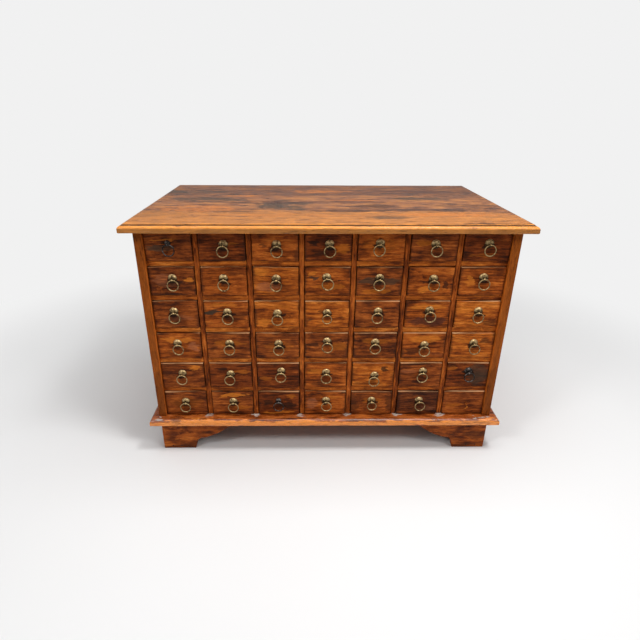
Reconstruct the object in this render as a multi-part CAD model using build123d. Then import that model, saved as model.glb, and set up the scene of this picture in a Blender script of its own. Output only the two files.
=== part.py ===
from build123d import *

import math
import os

# A floor-standing chest of small seed drawers: seven columns of six drawers in a
# grid of boards, under a moulded top and on a moulded base board with bracket feet.
# Millimetres, +Z up, +Y towards the back. The origin is on the floor, in the middle
# of the footprint of the top board.

# ---- carcass -------------------------------------------------------------------
carcass_width = 1000.0        # outside faces of the two side boards
carcass_depth = 590.0         # front edges of the side boards to the back boards
opening_height = 565.0        # base board to the underside of the top board
side_thickness = 22.0
back_thickness = 10.0
back_board_count = 5
back_board_gap = 0.5          # open joint between two back boards

# ---- top board -----------------------------------------------------------------
top_thickness = 22.0
top_side_overhang = 28.0
top_front_overhang = 28.0
top_back_overhang = 15.0
top_step = 3.0                # height of the small step above the ovolo
top_quirk = 1.5               # flat between the ovolo and that step
top_ovolo = 9.0               # radius of the convex quarter round
top_lower_round = 3.0

# ---- base board and feet ---------------------------------------------------------
base_thickness = 22.0
base_side_overhang = 25.0
base_front_overhang = 23.0
base_nose = 12.0              # radius of the convex nose
base_lower_round = 3.0
foot_height = 99.0            # floor to the underside of the base board
foot_inset = 2.0              # bracket faces behind the carcass faces
foot_width = 98.0             # width of a bracket where it meets the floor
bracket_thickness = 22.0
bracket_heel_rise = 19.0      # straight part above the floor
bracket_heel_lean = 4.0
bracket_hollow_width = 30.0   # end of the tight hollow, from the heel
bracket_hollow_height = 38.5
bracket_reach = 127.0         # where the bracket runs out under the base board
bracket_sag = 7.0             # how far the long curve hangs below its chord
corner_block = 40.0           # square glue block behind each pair of brackets
nail_width = 3.5              # square cut nails
nail_length = 45.0
nail_height = 9.0             # above the floor
nail_distances = (27.0, 54.0)  # from the outer edge of the bracket

# ---- drawer grid -----------------------------------------------------------------
columns = 7
rows = 6
divider_thickness = 14.0
shelf_thickness = 15.0
grid_recess = 12.0            # dividers and shelves behind the side boards' edges
drawer_recess = 8.0           # drawer fronts behind the side boards' edges

# ---- drawers ---------------------------------------------------------------------
drawer_side_gap = 1.5         # each side of a drawer
drawer_top_gap = 1.5          # above a drawer front
drawer_back_gap = 0.3         # closed drawer to the back boards
front_thickness = 16.0
box_side_thickness = 8.0
box_back_thickness = 8.0
box_side_drop = 12.0          # box sides below the top of the front
bottom_thickness = 5.0
bottom_lift = 3.0             # bottom board above the lower edges of the sides
held_length = 110.0           # part of a drawer that stays in at full travel

# ---- ring pulls ------------------------------------------------------------------
pull_rise = 10.0              # pin above the middle of the drawer front
rosette_radius = 11.0
rosette_shoulder_radius = 8.8
rosette_shoulder_height = 2.4
rosette_crown_radius = 5.6
rosette_height = 4.2
rosette_sides = 8
eye_standoff = 8.0            # ring axis in front of the drawer front
eye_drop = 4.5                # ring axis below the pin
eye_radius = 4.2
eye_width = 5.0
eye_sides = 6
eye_hole_sides = 6
eye_foot_margin = 0.5         # foot of the eye inside the flat crown
eye_foot_height = 3.8
ring_radius = 14.6            # ring centre to the middle of the wire
ring_sides = 12
wire_radius = 1.4
wire_clearance = 0.35         # wire to the wall of the eye
pin_width = 3.5               # square shank of the split pin
pin_clearance = 0.1
pin_leg_length = 9.0          # each bent leg behind the front
pin_leg_thickness = 1.6

# The pulls were fitted by eye. Each sits this far to the right of the middle of its
# drawer and above the pin height, row by row from the top and from the left.
pull_offsets = (
    ((0, 0), (5, -4), (4, -4), (3, -3), (-4, 0), (2, -2), (3, 0)),
    ((2, 0), (-1, 0), (1, -1), (-3, 3), (0, 1), (6, -1), (2, 3)),
    ((-4, 1), (3, -2), (2, -5), (0, -4), (2, 1), (5, 4), (2, 2)),
    ((-5, 0), (3, -1), (3, -2), (2, 6), (0, 2), (2, -6), (3, 0)),
    ((-1, -2), (0, -4), (9, 5), (1, 1), (4, -9), (6, 4), (1, 5)),
    ((-1, -1), (2, -2), (-1, 1), (2, 1), (0, 1), (4, 1), (8, -12)),
)
# Drawers that have lost their pull, as (row, column), both counted from 1.
bare_drawers = ((6, 7),)
# The top row's rings each turn on their own; the rest are fixed to their drawers.
loose_ring_row = 1

# ---- places worked out from the sizes above --------------------------------------
top_width = carcass_width + 2 * top_side_overhang
top_depth = top_front_overhang + carcass_depth + top_back_overhang
half_width = carcass_width / 2
front_y = top_front_overhang - top_depth / 2
back_y = front_y + carcass_depth
back_face_y = back_y - back_thickness
base_top_z = foot_height + base_thickness
ceiling_z = base_top_z + opening_height
inner_width = carcass_width - 2 * side_thickness
cell_width = (inner_width - (columns - 1) * divider_thickness) / columns
cell_height = (opening_height - (rows - 1) * shelf_thickness) / rows
drawer_width = cell_width - 2 * drawer_side_gap
drawer_height = cell_height - drawer_top_gap
drawer_face_y = front_y + drawer_recess
drawer_rear_y = back_face_y - drawer_back_gap
drawer_travel = drawer_rear_y - drawer_face_y - held_length


def board(x0, x1, y0, y1, z0, z1):
    """A plain board between two corners."""
    middle = Pos((x0 + x1) / 2, (y0 + y1) / 2, (z0 + z1) / 2)
    return middle * Box(x1 - x0, y1 - y0, z1 - z0)


def cell_x(column):
    """Middle of a column, counted from 1 at the left."""
    first = -inner_width / 2 + cell_width / 2
    return first + (column - 1) * (cell_width + divider_thickness)


def cell_z(row):
    """Floor of a row's cells, counted from 1 at the top."""
    return ceiling_z - row * cell_height - (row - 1) * shelf_thickness


def drawer_place(row, column):
    """Middle of the lower front edge of a closed drawer."""
    return Pos(cell_x(column), drawer_face_y, cell_z(row))


def pin_place(row, column):
    """(right, up) of a pull's pin from the middle of its drawer's lower front edge."""
    line = pull_offsets[(row - 1) % len(pull_offsets)]
    right, up = line[(column - 1) % len(line)]
    return right, drawer_height / 2 + pull_rise + up


# ---- mouldings -------------------------------------------------------------------
def top_edge(edge, out, low):
    """Moulding of the top board from its underside up, in (across, height).

    edge is the outermost place, out is +1 or -1 for the way the edge faces."""
    step_z = low + top_thickness - top_step
    ovolo_z = step_z - top_ovolo
    inner = edge - out * (top_ovolo + top_quirk)
    corner = math.sqrt(0.5)
    lower = (edge - out * top_lower_round * (1 - corner), low + top_lower_round * (1 - corner))
    upper = (edge - out * top_ovolo * (1 - corner), ovolo_z + top_ovolo * corner)
    return [
        ThreePointArc((edge - out * top_lower_round, low), lower, (edge, low + top_lower_round)),
        Line((edge, low + top_lower_round), (edge, ovolo_z)),
        ThreePointArc((edge, ovolo_z), upper, (edge - out * top_ovolo, step_z)),
        Line((edge - out * top_ovolo, step_z), (inner, step_z)),
        Line((inner, step_z), (inner, low + top_thickness)),
    ]


def base_edge(edge, out, low):
    """Nose of the base board from its underside up, in (across, height)."""
    high = low + base_thickness
    corner = math.sqrt(0.5)
    lower = (edge - out * base_lower_round * (1 - corner), low + base_lower_round * (1 - corner))
    upper = (edge - out * base_nose * (1 - corner), high - base_nose * (1 - corner))
    return [
        ThreePointArc((edge - out * base_lower_round, low), lower, (edge, low + base_lower_round)),
        Line((edge, low + base_lower_round), (edge, high - base_nose)),
        ThreePointArc((edge, high - base_nose), upper, (edge - out * base_nose, high)),
    ]


def moulded_board(moulding, width, y_front, y_rear, low, high):
    """A board moulded along its front and both ends, with mitred corners."""
    half = width / 2
    front = moulding(y_front, -1, low)
    long_face = make_face(
        front + [Polyline(front[-1] @ 1, (y_rear, high), (y_rear, low), front[0] @ 0)]
    )
    left = moulding(-half, -1, low)
    right = moulding(half, 1, low)
    ends = [Line(left[-1] @ 1, right[-1] @ 1), Line(right[0] @ 0, left[0] @ 0)]
    end_face = make_face(left + right + ends)
    along = extrude(Plane.YZ * long_face, half, both=True)
    across = extrude(Plane.XZ * end_face, max(abs(y_front), abs(y_rear)), both=True)
    return along & across


# ---- carcass pieces --------------------------------------------------------------
def top_board():
    y_front = front_y - top_front_overhang
    y_rear = back_y + top_back_overhang
    return moulded_board(top_edge, top_width, y_front, y_rear, ceiling_z, ceiling_z + top_thickness)


def base_board():
    width = carcass_width + 2 * base_side_overhang
    return moulded_board(base_edge, width, front_y - base_front_overhang, back_y, foot_height, base_top_z)


def side_board(side):
    """One side of the carcass; side is -1 for the left and +1 for the right."""
    x0, x1 = sorted((side * half_width, side * (half_width - side_thickness)))
    return board(x0, x1, front_y, back_y, base_top_z, ceiling_z)


def column_dividers():
    """The upright boards between the columns."""
    boards = []
    for column in range(1, columns):
        x0 = cell_x(column) + cell_width / 2
        boards.append(
            board(x0, x0 + divider_thickness, front_y + grid_recess, back_face_y, base_top_z, ceiling_z)
        )
    return boards


def drawer_shelves():
    """The boards under each drawer that doesn't stand on the base board."""
    boards = []
    for row in range(1, rows):
        for column in range(1, columns + 1):
            x0 = cell_x(column) - cell_width / 2
            z1 = cell_z(row)
            boards.append(
                board(x0, x0 + cell_width, front_y + grid_recess, back_face_y, z1 - shelf_thickness, z1)
            )
    return boards


def back_boards():
    """Upright boards that close the back between the two sides."""
    pitch = inner_width / back_board_count
    boards = []
    for number in range(back_board_count):
        x0 = -inner_width / 2 + number * pitch
        x1 = x0 + pitch - (back_board_gap if number < back_board_count - 1 else 0)
        boards.append(board(x0, x1, back_face_y, back_y, base_top_z, ceiling_z))
    return boards


# ---- feet ------------------------------------------------------------------------
def bracket_face():
    """Outline of a bracket: outer edge at 0, running out to the right, floor at 0."""
    heel = (foot_width, 0)
    heel_top = (foot_width + bracket_heel_lean, bracket_heel_rise)
    hollow_end = (foot_width + bracket_hollow_width, bracket_hollow_height)
    tip = (foot_width + bracket_reach, foot_height)
    hollow_middle = (
        heel_top[0] + 0.3 * (hollow_end[0] - heel_top[0]),
        heel_top[1] + 0.75 * (hollow_end[1] - heel_top[1]),
    )
    long_middle = (
        (hollow_end[0] + tip[0]) / 2 + 0.5 * bracket_sag,
        (hollow_end[1] + tip[1]) / 2 - bracket_sag,
    )
    return make_face(
        [
            Line((0, 0), heel),
            Line(heel, heel_top),
            ThreePointArc(heel_top, hollow_middle, hollow_end),
            ThreePointArc(hollow_end, long_middle, tip),
            Line(tip, (0, foot_height)),
            Line((0, foot_height), (0, 0)),
        ]
    )


def nail_places():
    """(x, z) of the nails through the front brackets."""
    outer = half_width - foot_inset
    return [(side * (outer - distance), nail_height) for side in (-1, 1) for distance in nail_distances]


def foot_nails():
    """Square nails, flush with the front of the brackets."""
    y0 = front_y + foot_inset
    half = nail_width / 2
    return [
        board(x - half, x + half, y0, y0 + nail_length, z - half, z + half)
        for x, z in nail_places()
    ]


def front_brackets():
    """The two shaped brackets seen from the front."""
    left = extrude(Plane.XZ * bracket_face(), -bracket_thickness)
    left = Pos(foot_inset - half_width, front_y + foot_inset, 0) * left
    both = [left, mirror(left, Plane.YZ)]
    for nail in foot_nails():
        both = [bracket - nail for bracket in both]
    return both


def side_brackets():
    """Four brackets along the sides: two behind the front ones, two at the back."""
    bracket = extrude(Plane.YZ * bracket_face(), bracket_thickness)
    x0 = foot_inset - half_width
    front_left = Pos(x0, front_y + foot_inset, 0) * bracket
    front_left -= board(
        x0, x0 + bracket_thickness, front_y, front_y + foot_inset + bracket_thickness, 0, foot_height
    )
    rear_left = Pos(x0, back_y, 0) * mirror(bracket, Plane.XZ)
    lefts = [front_left, rear_left]
    return lefts + [mirror(piece, Plane.YZ) for piece in lefts]


def corner_blocks():
    """Square blocks behind the brackets, from the floor to the base board."""
    outer_x = half_width - foot_inset - bracket_thickness
    front_block_y = front_y + foot_inset + bracket_thickness
    nails = foot_nails()
    blocks = []
    for side in (-1, 1):
        x0, x1 = sorted((side * outer_x, side * (outer_x - corner_block)))
        front_block = board(x0, x1, front_block_y, front_block_y + corner_block, 0, foot_height)
        for nail in nails:
            front_block -= nail
        blocks.append(front_block)
        blocks.append(board(x0, x1, back_y - corner_block, back_y, 0, foot_height))
    return blocks


# ---- ring pulls ------------------------------------------------------------------
# The pieces of a pull are made about its pin, with the drawer front's face at y = 0.
def rosette():
    """Domed round cap on the drawer front, made face by face so that its facets are flat."""
    levels = (
        (0.0, rosette_radius),
        (rosette_shoulder_height, rosette_shoulder_radius),
        (rosette_height, rosette_crown_radius),
    )
    corner_angle = math.pi / rosette_sides

    def corner(level, side):
        height, radius = levels[level]
        turn = (2 * side + 1) * corner_angle
        return (radius * math.cos(turn), -height, radius * math.sin(turn))

    last = len(levels) - 1
    outlines = [[corner(level, side) for side in range(rosette_sides)] for level in (0, last)]
    for level in range(last):
        for side in range(rosette_sides):
            outlines.append([
                corner(level, side),
                corner(level, side + 1),
                corner(level + 1, side + 1),
                corner(level + 1, side),
            ])
    faces = [Face(Wire.make_polygon(outline, close=True)) for outline in outlines]
    return Solid(Shell(faces))


def split_pin_eye():
    """The eye, on a foot that stands on the rosette's flat crown and turns down.

    Its outline is in (y, z): round the hole for the ring, then back into the crown."""
    step = 2 * math.pi / eye_sides
    rim = [
        (
            eye_radius * math.cos((corner + 0.5) * step) - eye_standoff,
            eye_radius * math.sin((corner + 0.5) * step) - eye_drop,
        )
        for corner in range(1, eye_sides - 1)
    ]
    low = eye_foot_margin - rosette_crown_radius * math.cos(math.pi / rosette_sides)
    high = low + eye_foot_height
    sunk = -rosette_height / 2
    foot = [(-rosette_height, low), (sunk, low), (sunk, high), (-rosette_height, high)]
    hole_radius = (wire_radius + wire_clearance) / math.cos(math.pi / eye_hole_sides)
    hole = Pos(-eye_standoff, -eye_drop) * RegularPolygon(hole_radius, eye_hole_sides)
    outline = make_face(Polyline(*rim, *foot, close=True)) - hole
    return extrude(Plane.YZ * outline, eye_width / 2, both=True)


def split_pin_shank():
    """The shank through the drawer front and its two legs bent up and down behind it."""
    half = pin_width / 2
    end_y = front_thickness + pin_leg_thickness
    reach = half + pin_leg_length
    shank = board(-half, half, -rosette_height / 2, end_y, -half, half)
    return shank + board(-half, half, front_thickness, end_y, -reach, reach)


def pull_fitting():
    """Rosette and split pin in one solid."""
    return rosette() + split_pin_eye() + split_pin_shank()


def pull_ring():
    """The ring, hanging by the middle of one of its straight sides.

    It is a closed polygon of wire with a four-sided section, made face by face."""
    corner_angle = math.pi / ring_sides

    def corner(segment, side):
        turn = (2 * segment + 1) * corner_angle
        around = side * math.pi / 2
        radius = (ring_radius + wire_radius * math.cos(around)) / math.cos(corner_angle)
        return (
            radius * math.sin(turn),
            -eye_standoff - wire_radius * math.sin(around),
            radius * math.cos(turn) - ring_radius - eye_drop,
        )

    faces = []
    for segment in range(ring_sides):
        for side in range(4):
            corners = [
                corner(segment, side),
                corner(segment + 1, side),
                corner(segment + 1, side + 1),
                corner(segment, side + 1),
            ]
            faces.append(Face(Wire.make_polygon(corners, close=True)))
    return Solid(Shell(faces))


# ---- drawers ---------------------------------------------------------------------
def drawer_front(right, up):
    """The front with the hole for the split pin, about the middle of its lower front edge."""
    half = drawer_width / 2
    hole = pin_width / 2 + pin_clearance
    plain = board(-half, half, 0, front_thickness, 0, drawer_height)
    return plain - board(right - hole, right + hole, 0, front_thickness, up - hole, up + hole)


def drawer_box():
    """Two sides, the bottom and the back, placed as drawer_front is."""
    half = drawer_width / 2
    inner = half - box_side_thickness
    length = drawer_rear_y - drawer_face_y
    side_top = drawer_height - box_side_drop
    back_low = bottom_lift + bottom_thickness
    return [
        board(-half, -inner, front_thickness, length, 0, side_top),
        board(inner, half, front_thickness, length, 0, side_top),
        board(-inner, inner, front_thickness, length, bottom_lift, back_low),
        board(-inner, inner, length - box_back_thickness, length, back_low, side_top),
    ]


# ---- files -----------------------------------------------------------------------
def save(name, pieces):
    """Writes one node: a single solid, or a group of separate solids."""
    solids = []
    for piece in pieces if isinstance(pieces, list) else [pieces]:
        solids.extend(piece.solids())
    export_step(solids[0] if len(solids) == 1 else Compound(children=solids), f"parts/{name}.step")


def main():
    os.makedirs("parts", exist_ok=True)
    save("top_board", top_board())
    save("left_side", side_board(-1))
    save("right_side", side_board(1))
    save("column_dividers", column_dividers())
    save("drawer_shelves", drawer_shelves())
    save("back_boards", back_boards())
    save("base_board", base_board())
    save("front_brackets", front_brackets())
    save("side_brackets", side_brackets())
    save("corner_blocks", corner_blocks())
    save("foot_nails", foot_nails())
    box = drawer_box()
    fitting = pull_fitting()
    ring = pull_ring()
    for row in range(1, rows + 1):
        for column in range(1, columns + 1):
            right, up = pin_place(row, column)
            pin = Pos(right, 0, up)
            pieces = [drawer_front(right, up)] + box
            if (row, column) not in bare_drawers:
                pieces.append(pin * fitting)
                if row != loose_ring_row:
                    pieces.append(pin * ring)
            place = drawer_place(row, column)
            save(f"drawer_r{row}_c{column}", [place * piece for piece in pieces])
            if row == loose_ring_row:
                save(f"ring_r{row}_c{column}", place * pin * ring)


main()
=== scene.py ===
"""Looks for the seed storage cabinet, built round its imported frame. Metres, +Z up, +Y to the back."""

import math

import bpy
from mathutils import Matrix, Vector


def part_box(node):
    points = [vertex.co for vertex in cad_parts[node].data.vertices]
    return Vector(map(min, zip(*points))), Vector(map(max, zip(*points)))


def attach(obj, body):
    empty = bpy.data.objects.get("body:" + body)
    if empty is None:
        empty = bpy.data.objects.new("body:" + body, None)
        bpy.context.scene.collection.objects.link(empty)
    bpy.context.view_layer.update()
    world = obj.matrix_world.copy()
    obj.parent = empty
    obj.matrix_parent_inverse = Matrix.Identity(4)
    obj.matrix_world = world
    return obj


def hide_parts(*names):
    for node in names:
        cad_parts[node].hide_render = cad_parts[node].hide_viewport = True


bl_info = {
    "name": "Seed storage cabinet",
    "version": (1, 0, 0),
    "blender": (4, 5, 0),
    "location": "View3D > Sidebar > Cabinet",
    "description": "Dresses a chest of small ring-pull drawers with worn, varnished wood and aged brass",
    "category": "Object",
}

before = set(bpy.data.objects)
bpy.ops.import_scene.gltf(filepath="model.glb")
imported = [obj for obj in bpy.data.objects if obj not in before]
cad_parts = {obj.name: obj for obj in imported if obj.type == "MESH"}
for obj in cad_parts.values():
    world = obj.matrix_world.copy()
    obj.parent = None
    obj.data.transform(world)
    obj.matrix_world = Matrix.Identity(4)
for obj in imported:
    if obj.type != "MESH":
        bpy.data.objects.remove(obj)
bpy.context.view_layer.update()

# ---- places read from the frame ------------------------------------------------------
ROWS = 6
COLUMNS = 7
LOOSE_RING_ROW = 1
BARE_DRAWER = (6, 7)
CARCASS = "cabinet"
FACE_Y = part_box("drawer_r6_c7")[0].y        # of the drawer fronts; no pull stands out from this one
BASE_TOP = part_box("base_board")[1].z
TOP_LOW, TOP_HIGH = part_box("top_board")
DIVIDER_LOW, DIVIDER_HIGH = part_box("column_dividers")
PIN_ABOVE_RING_AXIS = 0.0045
RING_STANDOFF = 0.008
FRONT_THICKNESS = 0.016
BOX_BOARD = 0.008
BOX_SIDE_DROP = 0.012
BOX_BOTTOM = 0.005
BOX_BOTTOM_LIFT = 0.003


def drawer_name(row, column):
    return f"drawer_r{row}_c{column}"


def all_drawers():
    return [(row, column) for row in range(1, ROWS + 1) for column in range(1, COLUMNS + 1)]


def ring_axis(row, column):
    """Where a pull's ring hangs: the middle of the part of the drawer that stands out furthest."""
    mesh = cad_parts[drawer_name(row, column)].data
    furthest = min(vertex.co.y for vertex in mesh.vertices)
    tips = [vertex.co for vertex in mesh.vertices if vertex.co.y < furthest + 1e-4]
    return Vector((
        sum(tip.x for tip in tips) / len(tips),
        FACE_Y - RING_STANDOFF,
        sum(tip.z for tip in tips) / len(tips),
    ))


def divider_thickness():
    edges = sorted({round(vertex.co.x, 5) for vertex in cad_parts["column_dividers"].data.vertices})
    return edges[1] - edges[0]


def divider_pitch():
    """From one divider to the next."""
    return (DIVIDER_HIGH.x - DIVIDER_LOW.x - divider_thickness()) / (COLUMNS - 2)


def divider_edges():
    """The left side of each divider."""
    return [DIVIDER_LOW.x + number * divider_pitch() for number in range(COLUMNS - 1)]


# ---- colours of the woods --------------------------------------------------------------
# Five tones of each board, from the darkest streaks to the brightest.
WOODS = {
    "golden": (
        (0.10, 0.021, 0.005), (0.22, 0.048, 0.007), (0.37, 0.087, 0.011),
        (0.50, 0.131, 0.016), (0.66, 0.209, 0.035),
    ),
    "orange": (
        (0.065, 0.014, 0.004), (0.16, 0.033, 0.005), (0.29, 0.063, 0.009),
        (0.40, 0.094, 0.013), (0.54, 0.148, 0.023),
    ),
    "brown": (
        (0.045, 0.011, 0.005), (0.11, 0.025, 0.006), (0.21, 0.047, 0.009),
        (0.30, 0.072, 0.013), (0.43, 0.113, 0.020),
    ),
    "red": (
        (0.028, 0.008, 0.004), (0.075, 0.016, 0.004), (0.15, 0.030, 0.006),
        (0.22, 0.048, 0.009), (0.35, 0.085, 0.015),
    ),
    "umber": (
        (0.016, 0.007, 0.005), (0.045, 0.012, 0.006), (0.09, 0.023, 0.008),
        (0.15, 0.037, 0.010), (0.27, 0.070, 0.015),
    ),
    "top": (
        (0.06, 0.028, 0.018), (0.15, 0.055, 0.025), (0.27, 0.098, 0.038),
        (0.38, 0.140, 0.045), (0.52, 0.215, 0.060),
    ),
    "inside": (
        (0.12, 0.055, 0.025), (0.20, 0.095, 0.042), (0.29, 0.145, 0.065),
        (0.37, 0.195, 0.090), (0.46, 0.260, 0.130),
    ),
}
# Colours of the marks on the boards.
GOLD = (0.64, 0.19, 0.022)
AMBER = (0.46, 0.125, 0.012)
BUTTER = (0.80, 0.29, 0.04)
HONEY = (0.85, 0.27, 0.035)
# Pale upper edges of the drawer fronts: rubbed wood and a painted highlight.
RUBBED_AND_LIT = (0.78, 0.42, 0.20)
RUST = (0.74, 0.185, 0.024)
PINK = (0.34, 0.12, 0.055)
UMBER = (0.055, 0.016, 0.006)
PLUM = (0.075, 0.022, 0.013)
GREY = (0.052, 0.034, 0.021)
# Near black: soot stains on some fronts, and painted shade in the top's groove and under the pulls.
SOOT_AND_SHADE = (0.012, 0.007, 0.005)
DUST = (0.50, 0.46, 0.41)

# Each drawer's wood, and its marks in millimetres from the middle of its front:
# right, up, half length, half height, tilt in degrees, colour and strength.
DRAWER_WOODS = {
    (1, 1): ("brown", ((-20, -8, 46, 10, 0, GREY, 0.8), (-8, 14, 42, 5, 5, GOLD, 0.6))),
    (1, 2): ("red", ((30, 8, 26, 6, 0, AMBER, 0.4),)),
    (1, 3): ("orange", ((-30, 0, 9, 7, 0, UMBER, 0.6),)),
    (1, 4): ("red", ((-35, 12, 16, 12, -10, SOOT_AND_SHADE, 0.8), (-20, -18, 30, 7, 0, UMBER, 0.6),
                     (38, -6, 26, 16, 0, AMBER, 0.6))),
    (1, 5): ("orange", ((0, 4, 60, 22, 0, AMBER, 0.3),)),
    (1, 6): ("brown", ((-25, 8, 35, 12, 0, AMBER, 0.6), (25, -22, 30, 11, 0, UMBER, 0.6))),
    (1, 7): ("red", ((-10, -22, 40, 6, 0, AMBER, 0.3),)),
    (2, 1): ("brown", ((40, 4, 20, 7, 0, GOLD, 0.7), (-20, 0, 44, 22, 0, PINK, 0.35))),
    (2, 2): ("orange", ((30, 20, 34, 6, -3, UMBER, 0.4),)),
    (2, 3): ("golden", ((-30, 13, 34, 1.6, -3, UMBER, 0.9), (-22, -14, 42, 18, 0, PINK, 0.45),
                        (-40, 22, 24, 8, 0, GOLD, 0.6))),
    (2, 4): ("orange", ((-40, 6, 9, 8, 0, GREY, 0.8), (42, 3, 30, 1.8, 0, UMBER, 0.95),
                        (-46, 20, 14, 8, 0, GOLD, 0.7), (0, -16, 56, 10, 0, AMBER, 0.5))),
    (2, 5): ("brown", ((0, 1, 72, 13, 0, GREY, 0.8), (0, -26, 56, 7, 0, AMBER, 0.6))),
    (2, 6): ("orange", ((0, -2, 60, 2.2, 0, UMBER, 0.9), (-14, -20, 26, 9, 0, GOLD, 0.7),
                        (44, -9, 12, 9, 0, UMBER, 0.85))),
    (2, 7): ("orange", ((-36, 4, 13, 18, 20, GOLD, 0.55), (20, 20, 40, 6, 0, UMBER, 0.35))),
    (3, 1): ("brown", ((10, -10, 50, 12, 0, PINK, 0.25),)),
    (3, 2): ("orange", ((-42, 9, 38, 8, 3, GREY, 0.95), (26, -2, 38, 13, 0, UMBER, 0.6),
                        (-10, 28, 50, 5, 0, GOLD, 0.5))),
    (3, 3): ("golden", ((-42, -20, 22, 12, 0, GOLD, 0.6), (8, 24, 50, 8, 0, AMBER, 0.4))),
    (3, 4): ("golden", ((-18, 9, 12, 3, 0, UMBER, 0.6), (40, -13, 12, 5, 0, UMBER, 0.6),
                        (-50, -14, 14, 4, 0, GREY, 0.6))),
    (3, 5): ("brown", ((0, 12, 62, 4, 0, UMBER, 0.6), (-20, -13, 42, 3.5, 0, UMBER, 0.55))),
    (3, 6): ("orange", ((0, 24, 64, 13, 0, GOLD, 0.6), (0, -20, 66, 19, 0, PLUM, 0.85))),
    (3, 7): ("golden", ((38, -20, 30, 14, 0, UMBER, 0.65), (-38, 14, 26, 10, 0, GOLD, 0.4))),
    (4, 1): ("orange", ((0, 22, 56, 11, 0, GOLD, 0.6), (42, -2, 17, 20, 0, PINK, 0.5),
                        (-30, -22, 30, 8, 0, UMBER, 0.4))),
    (4, 2): ("brown", ((0, 10, 56, 10, 0, AMBER, 0.5), (-40, -6, 16, 8, 0, UMBER, 0.5))),
    (4, 3): ("brown", ((0, 2, 50, 20, 0, AMBER, 0.3),)),
    (4, 4): ("brown", ((-40, 1, 22, 7, 0, SOOT_AND_SHADE, 0.7), (34, -4, 34, 16, 0, AMBER, 0.5),
                       (0, 28, 50, 4, 0, UMBER, 0.4))),
    (4, 5): ("brown", ((0, 14, 56, 10, 0, AMBER, 0.45),)),
    (4, 6): ("orange", ((0, 22, 60, 14, 0, GOLD, 0.65), (-32, -18, 32, 13, 0, UMBER, 0.75),
                        (30, -24, 34, 8, 0, PLUM, 0.4))),
    (4, 7): ("golden", ((40, 18, 24, 13, 0, UMBER, 0.7), (-30, 20, 30, 9, 0, GOLD, 0.4))),
    (5, 1): ("brown", ((38, 25, 24, 9, 0, GOLD, 0.85), (-34, 0, 24, 14, 0, UMBER, 0.3))),
    (5, 2): ("red", ((-22, 22, 16, 9, -8, SOOT_AND_SHADE, 0.7), (34, 12, 26, 10, 0, AMBER, 0.5))),
    (5, 3): ("red", ((-40, -14, 20, 12, 0, AMBER, 0.4),)),
    (5, 4): ("orange", ((0, -26, 60, 9, 0, UMBER, 0.55), (-20, 14, 40, 12, 0, GOLD, 0.45))),
    (5, 5): ("golden", ((38, 18, 12, 9, 0, SOOT_AND_SHADE, 0.8), (-10, -28, 50, 6, 0, UMBER, 0.5))),
    (5, 6): ("brown", ((-30, 12, 30, 8, 0, PINK, 0.3),)),
    (5, 7): ("red", ((30, 0, 40, 44, 0, GREY, 0.75), (-44, 22, 20, 10, 0, AMBER, 0.5))),
    (6, 1): ("brown", ((0, 0, 56, 24, 0, AMBER, 0.2),)),
    (6, 2): ("brown", ((4, 26, 52, 7, 2, GOLD, 0.75), (30, -16, 34, 8, 0, AMBER, 0.5))),
    (6, 3): ("red", ((-32, 4, 22, 11, 0, SOOT_AND_SHADE, 0.75), (28, -6, 26, 10, 0, SOOT_AND_SHADE, 0.7),
                     (0, -32, 54, 6, 0, GOLD, 0.6), (40, 22, 18, 8, 0, AMBER, 0.6))),
    (6, 4): ("orange", ((-40, 0, 20, 26, 0, PINK, 0.45), (30, 24, 30, 6, 0, GOLD, 0.4))),
    (6, 5): ("brown", ((-52, 0, 12, 38, 0, UMBER, 0.6), (52, 0, 12, 38, 0, UMBER, 0.6),
                       (0, 8, 36, 14, 0, AMBER, 0.45))),
    (6, 6): ("umber", ((20, -22, 36, 8, 0, PINK, 0.3),)),
    (6, 7): ("brown", ((-20, -10, 40, 8, 4, AMBER, 0.45), (8, -21, 6, 5, 30, GOLD, 0.7))),
}
# How far each ring hangs to one side in its eye, in degrees.
RING_SWINGS = (
    (8, -10, 0, 4, -9, 12, 9),
    (4, 0, -2, 13, -2, 7, 7),
    (5, 4, -2, 0, -8, 10, 0),
    (8, -2, 2, 2, 0, 0, 13),
    (-8, -10, -7, 0, -6, -6, 13),
    (-4, 0, 0, 6, 5, 13, 0),
)
# Rings that are larger or smaller than the rest.
RING_SIZES = {(1, 1): 1.03, (2, 4): 1.03, (3, 4): 0.86, (6, 5): 0.9}
DARK_PULLS = {(1, 1), (5, 7), (6, 3)}
SMALL_ROSETTES = {(1, 1): 0.62, (6, 3): 0.7}

GRAIN_TURNS = {"x": (0, 0, 0), "y": (0, 0, -math.pi / 2), "z": (0, math.pi / 2, 0)}


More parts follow.
